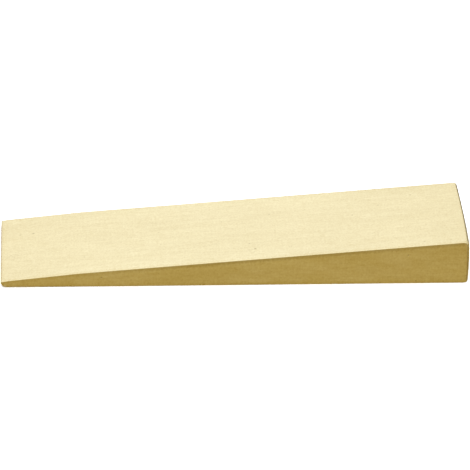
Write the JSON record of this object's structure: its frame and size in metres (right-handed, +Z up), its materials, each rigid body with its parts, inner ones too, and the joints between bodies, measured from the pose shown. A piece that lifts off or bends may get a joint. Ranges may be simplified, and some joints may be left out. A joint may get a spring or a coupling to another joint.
{
  "type": "felling wedge",
  "caption": "Solid metal wedge, taken from its colour to be a non-sparking copper alloy, driven tip first into a saw cut to lift and tip a tree; flat base, single-taper top, blunt tip and square striking head.",
  "frame": {"origin": "middle of the flat base, on the ground plane, halfway between tip and striking head", "axes": "+X from the blunt tip towards the striking head, +Y across the width, +Z up from the base to the tapered top face"},
  "size_m": [0.2, 0.06, 0.0194],
  "materials": {
    "ground_alloy": "satin"
  },
  "bodies": {
    "root": {"wedge_body": "ground_alloy"}
  },
  "joints": []
}
